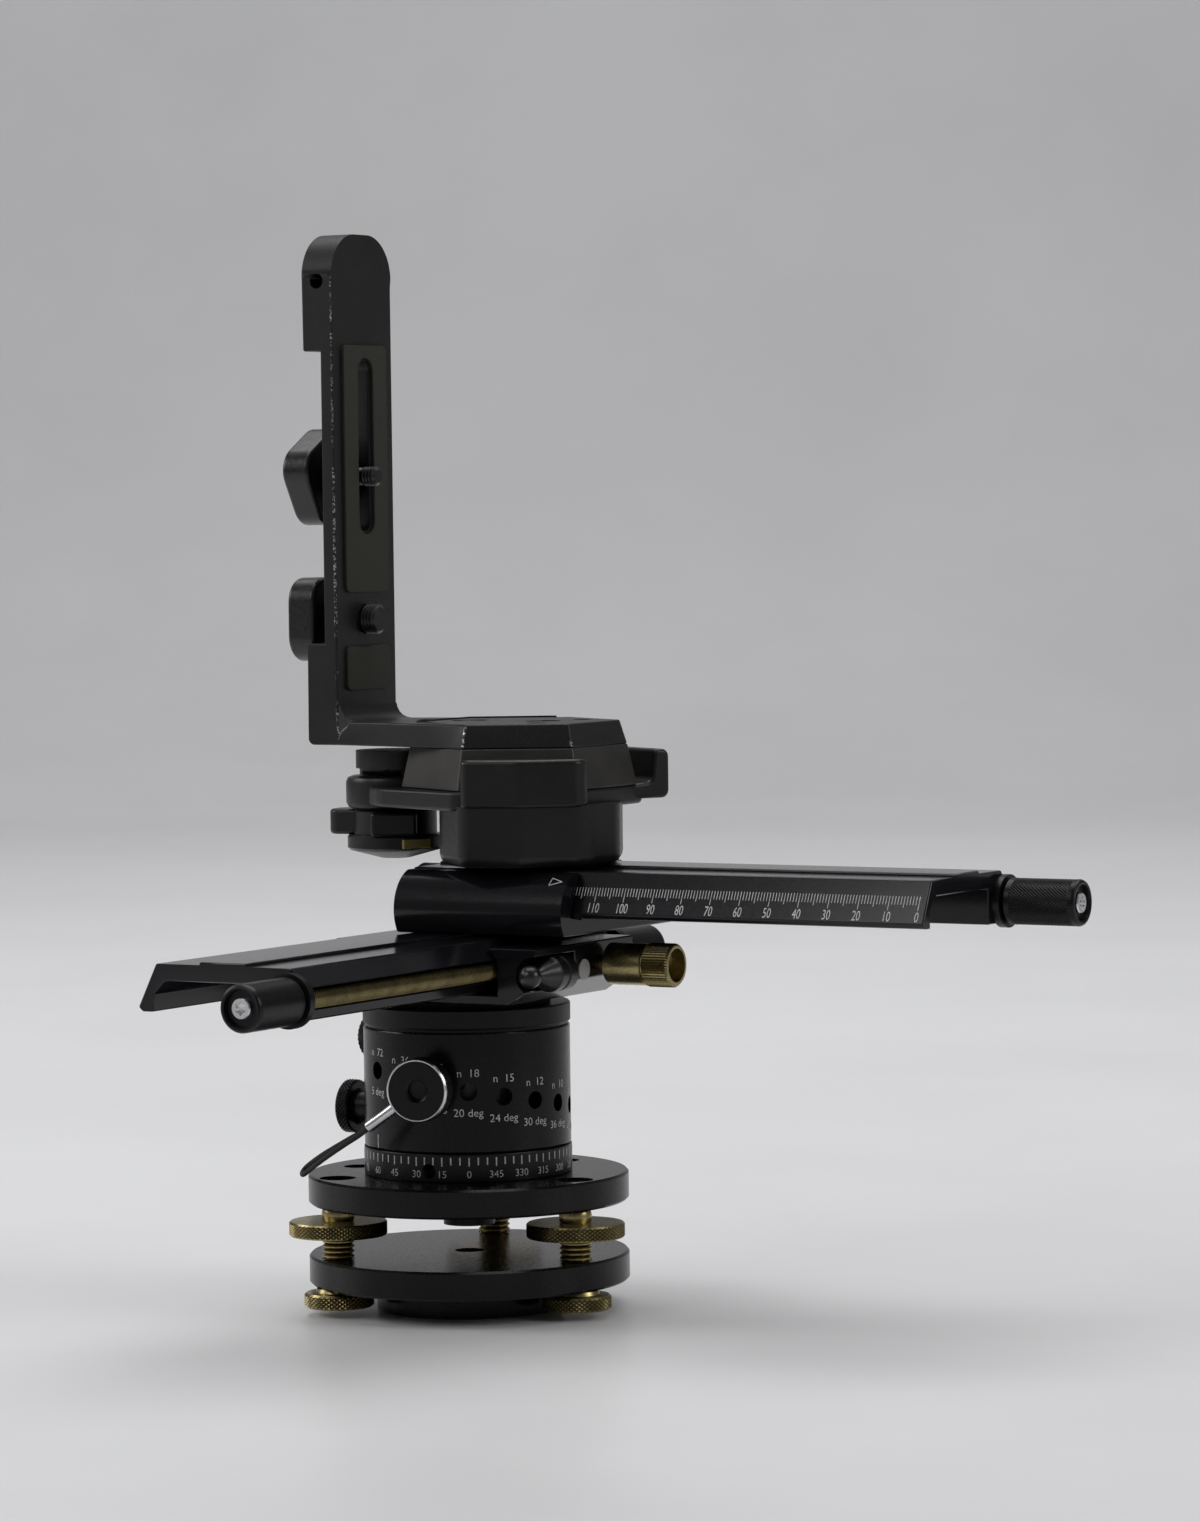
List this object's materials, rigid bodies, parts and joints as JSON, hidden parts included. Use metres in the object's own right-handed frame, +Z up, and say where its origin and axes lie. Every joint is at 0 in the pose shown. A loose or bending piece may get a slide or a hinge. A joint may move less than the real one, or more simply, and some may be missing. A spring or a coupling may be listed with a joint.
{
  "type": "panoramic tripod head",
  "caption": "Levelling base, click-stop rotator, crossed screw-driven slides, quick-release clamp and upright camera bracket.",
  "frame": {"origin": "on the pan axis, at the mouth of the tripod socket in the underside of the base", "axes": "+Z up along the pan axis, +X along the upper rail towards its front knob, -Y along the lower rail towards its front knob"},
  "size_m": [0.2595, 0.2458, 0.336],
  "materials": {
    "black_anodised": "satin black anodised",
    "grey_anodised": "satin dark grey anodised",
    "black_paint": "fine textured black paint",
    "brass": "aged brass",
    "steel": "plain steel",
    "dark_steel": "blackened steel",
    "rubber": "matt rubber",
    "pad": "matt olive-brown cork rubber",
    "cord": "braided cord",
    "black_plastic": "black plastic"
  },
  "bodies": {
    "base": {"base_disc": "black_anodised"},
    "platform": {"upper_disc": "black_anodised", "head_bolt": "dark_steel", "scale_ring": "black_anodised", "index_drum": "steel", "retaining_screw": "steel"},
    "rotator": {"rotator_body": "black_anodised", "top_plate": "black_anodised", "top_plate_screws": "steel", "carriage_stud": "steel", "friction_pad": "rubber", "plunger_bush": "black_anodised", "plunger_spring": "steel", "lower_carriage": "black_anodised", "lower_pivot_pin": "steel"},
    "plunger": {"plunger_pin": "steel", "plunger_knob": "black_anodised", "tether_ferrule": "steel", "tether_cord": "cord"},
    "pan_lock": {"pan_lock_knob": "black_anodised"},
    "side_lock": {"side_lock_knob": "black_anodised"},
    "lower_slider": {"lower_rail": "black_anodised", "lower_end_plates": "black_anodised", "lower_rail_bolt": "dark_steel", "upper_carriage": "black_anodised", "upper_pivot_pin": "steel"},
    "upper_slider": {"upper_rail": "black_anodised", "upper_end_plates": "black_anodised", "upper_rail_bolt": "dark_steel", "clamp_body": "black_anodised", "hex_plate": "grey_anodised", "l_bracket": "black_paint", "plate_screws": "dark_steel", "arm_pads": "pad"},
    "clamp_handle": {"clamp_lever": "black_anodised", "clamp_cam": "black_anodised"},
    "catch": {"safety_catch": "brass"},
    "camera_carrier": {"camera_washer": "dark_steel"},
    "camera_bolt": {"camera_screw": "black_plastic"},
    "arm_bolt": {"lower_arm_screw": "black_plastic"},
    "level_left": {"levelling_screw_left": "brass"},
    "nut_left": {"lock_nut_left": "brass"},
    "level_right": {"levelling_screw_right": "brass"},
    "nut_right": {"lock_nut_right": "brass"},
    "level_back": {"levelling_screw_back": "brass"},
    "nut_back": {"lock_nut_back": "brass"},
    "lower_drive": {"lower_lead_screw": "brass", "lower_front_knob": "black_anodised", "lower_rear_knob": "black_anodised", "lower_knob_screws": "steel"},
    "lower_nut": {"lower_half_nut": "brass"},
    "lower_release": {"lower_release_pin": "black_plastic"},
    "lower_lock": {"lower_lock_knob": "brass"},
    "upper_drive": {"upper_lead_screw": "brass", "upper_front_knob": "black_anodised", "upper_rear_knob": "black_anodised", "upper_knob_screws": "steel"},
    "upper_nut": {"upper_half_nut": "brass"},
    "upper_release": {"upper_release_pin": "black_plastic"},
    "upper_lock": {"upper_lock_knob": "brass"}
  },
  "joints": [
    {"name": "lock_nut_left_turn", "type": "hinge", "parent": "base", "child": "nut_left", "pos_m": [-0.02706, -0.03342, 0], "axis": [0, 0, 1], "range_deg": [-360, 360]},
    {"name": "lock_nut_right_turn", "type": "hinge", "parent": "base", "child": "nut_right", "pos_m": [0.04247, -0.00673, 0], "axis": [0, 0, 1], "range_deg": [-360, 360]},
    {"name": "lock_nut_back_turn", "type": "hinge", "parent": "base", "child": "nut_back", "pos_m": [-0.01541, 0.04014, 0], "axis": [0, 0, 1], "range_deg": [-360, 360]},
    {"name": "level_height", "type": "slide", "parent": "base", "child": "platform", "axis": [0, 0, 1], "range_m": [-0.0025, 0.003]},
    {"name": "levelling_screw_left_turn", "type": "hinge", "parent": "platform", "child": "level_left", "pos_m": [-0.02706, -0.03342, 0.0312], "axis": [0, 0, 1], "range_deg": [-620, 740]},
    {"name": "levelling_screw_right_turn", "type": "hinge", "parent": "platform", "child": "level_right", "pos_m": [0.04247, -0.00673, 0.0312], "axis": [0, 0, 1], "range_deg": [-620, 740]},
    {"name": "levelling_screw_back_turn", "type": "hinge", "parent": "platform", "child": "level_back", "pos_m": [-0.01541, 0.04014, 0.0312], "axis": [0, 0, 1], "range_deg": [-620, 740]},
    {"name": "pan", "type": "hinge", "parent": "platform", "child": "rotator", "pos_m": [0, 0, 0.06], "axis": [0, 0, 1], "continuous": true},
    {"name": "plunger_pull", "type": "slide", "parent": "rotator", "child": "plunger", "axis": [0.2079, -0.9781, 0], "range_m": [0, 0.0022], "stiffness_N_per_m": 800, "springref_m": -0.004, "deforming": ["plunger_spring"]},
    {"name": "pan_lock_turn", "type": "hinge", "parent": "rotator", "child": "pan_lock", "pos_m": [-0.03795, -0.00199, 0.06112], "axis": [-0.9986, -0.0523, 0], "range_deg": [0, 270]},
    {"name": "side_lock_turn", "type": "hinge", "parent": "rotator", "child": "side_lock", "pos_m": [-0.03634, 0.01111, 0.08221], "axis": [-0.9563, 0.2924, 0], "range_deg": [0, 270]},
    {"name": "lower_slide", "type": "slide", "parent": "rotator", "child": "lower_slider", "axis": [0, -1, 0], "range_m": [-0.103, 0.014]},
    {"name": "lower_screw_turn", "type": "hinge", "parent": "lower_slider", "child": "lower_drive", "pos_m": [0.024, 0, 0.1079], "axis": [0, -1, 0], "range_deg": [-12380, 1701]},
    {"name": "lower_release_press", "type": "slide", "parent": "rotator", "child": "lower_release", "axis": [0, 1, 0], "range_m": [0, 0.004], "stiffness_N_per_m": 400, "springref_m": -0.003},
    {"name": "lower_nut_open", "type": "slide", "parent": "rotator", "child": "lower_nut", "axis": [1, 0, 0], "range_m": [0, 0.0022]},
    {"name": "lower_lock_turn", "type": "hinge", "parent": "rotator", "child": "lower_lock", "pos_m": [0.05, 0.0115, 0.1079], "axis": [1, 0, 0], "range_deg": [0, 360]},
    {"name": "upper_slide", "type": "slide", "parent": "lower_slider", "child": "upper_slider", "axis": [1, 0, 0], "range_m": [-0.118, 0]},
    {"name": "upper_screw_turn", "type": "hinge", "parent": "upper_slider", "child": "upper_drive", "pos_m": [0.017, 0.0395, 0.1284], "axis": [1, 0, 0], "range_deg": [-14180, 20]},
    {"name": "upper_release_press", "type": "slide", "parent": "lower_slider", "child": "upper_release", "axis": [-1, 0, 0], "range_m": [0, 0.004], "stiffness_N_per_m": 400, "springref_m": -0.003},
    {"name": "upper_nut_open", "type": "slide", "parent": "lower_slider", "child": "upper_nut", "axis": [0, 1, 0], "range_m": [0, 0.0022]},
    {"name": "upper_lock_turn", "type": "hinge", "parent": "lower_slider", "child": "upper_lock", "pos_m": [0.0055, 0.0655, 0.1284], "axis": [0, 1, 0], "range_deg": [0, 360]},
    {"name": "clamp_lever_turn", "type": "hinge", "parent": "upper_slider", "child": "clamp_handle", "pos_m": [-0.035, 0.0155, 0.16], "axis": [0, 0, 1], "range_deg": [0, 100]},
    {"name": "safety_catch_press", "type": "slide", "parent": "clamp_handle", "child": "catch", "axis": [-0.848, 0.5299, 0], "range_m": [0, 0.002], "stiffness_N_per_m": 300, "springref_m": -0.003},
    {"name": "camera_height", "type": "slide", "parent": "upper_slider", "child": "camera_carrier", "axis": [0, 0, 1], "range_m": [-0.0135, 0.03]},
    {"name": "camera_screw_turn", "type": "hinge", "parent": "camera_carrier", "child": "camera_bolt", "pos_m": [-0.05, 0.0155, 0.2596], "axis": [1, 0, 0], "continuous": true},
    {"name": "arm_screw_turn", "type": "hinge", "parent": "upper_slider", "child": "arm_bolt", "pos_m": [-0.05, 0.0155, 0.2144], "axis": [1, 0, 0], "continuous": true}
  ],
  "couplings": [
    {"joint": "levelling_screw_left_turn", "follows": "level_height", "rad_per_m": 4188.8},
    {"joint": "levelling_screw_right_turn", "follows": "level_height", "rad_per_m": 4188.8},
    {"joint": "levelling_screw_back_turn", "follows": "level_height", "rad_per_m": 4188.8},
    {"joint": "lower_screw_turn", "follows": "lower_slide", "rad_per_m": 2094.4},
    {"joint": "lower_nut_open", "follows": "lower_release_press", "ratio": 0.55},
    {"joint": "upper_screw_turn", "follows": "upper_slide", "rad_per_m": 2094.4},
    {"joint": "upper_nut_open", "follows": "upper_release_press", "ratio": 0.55}
  ]
}
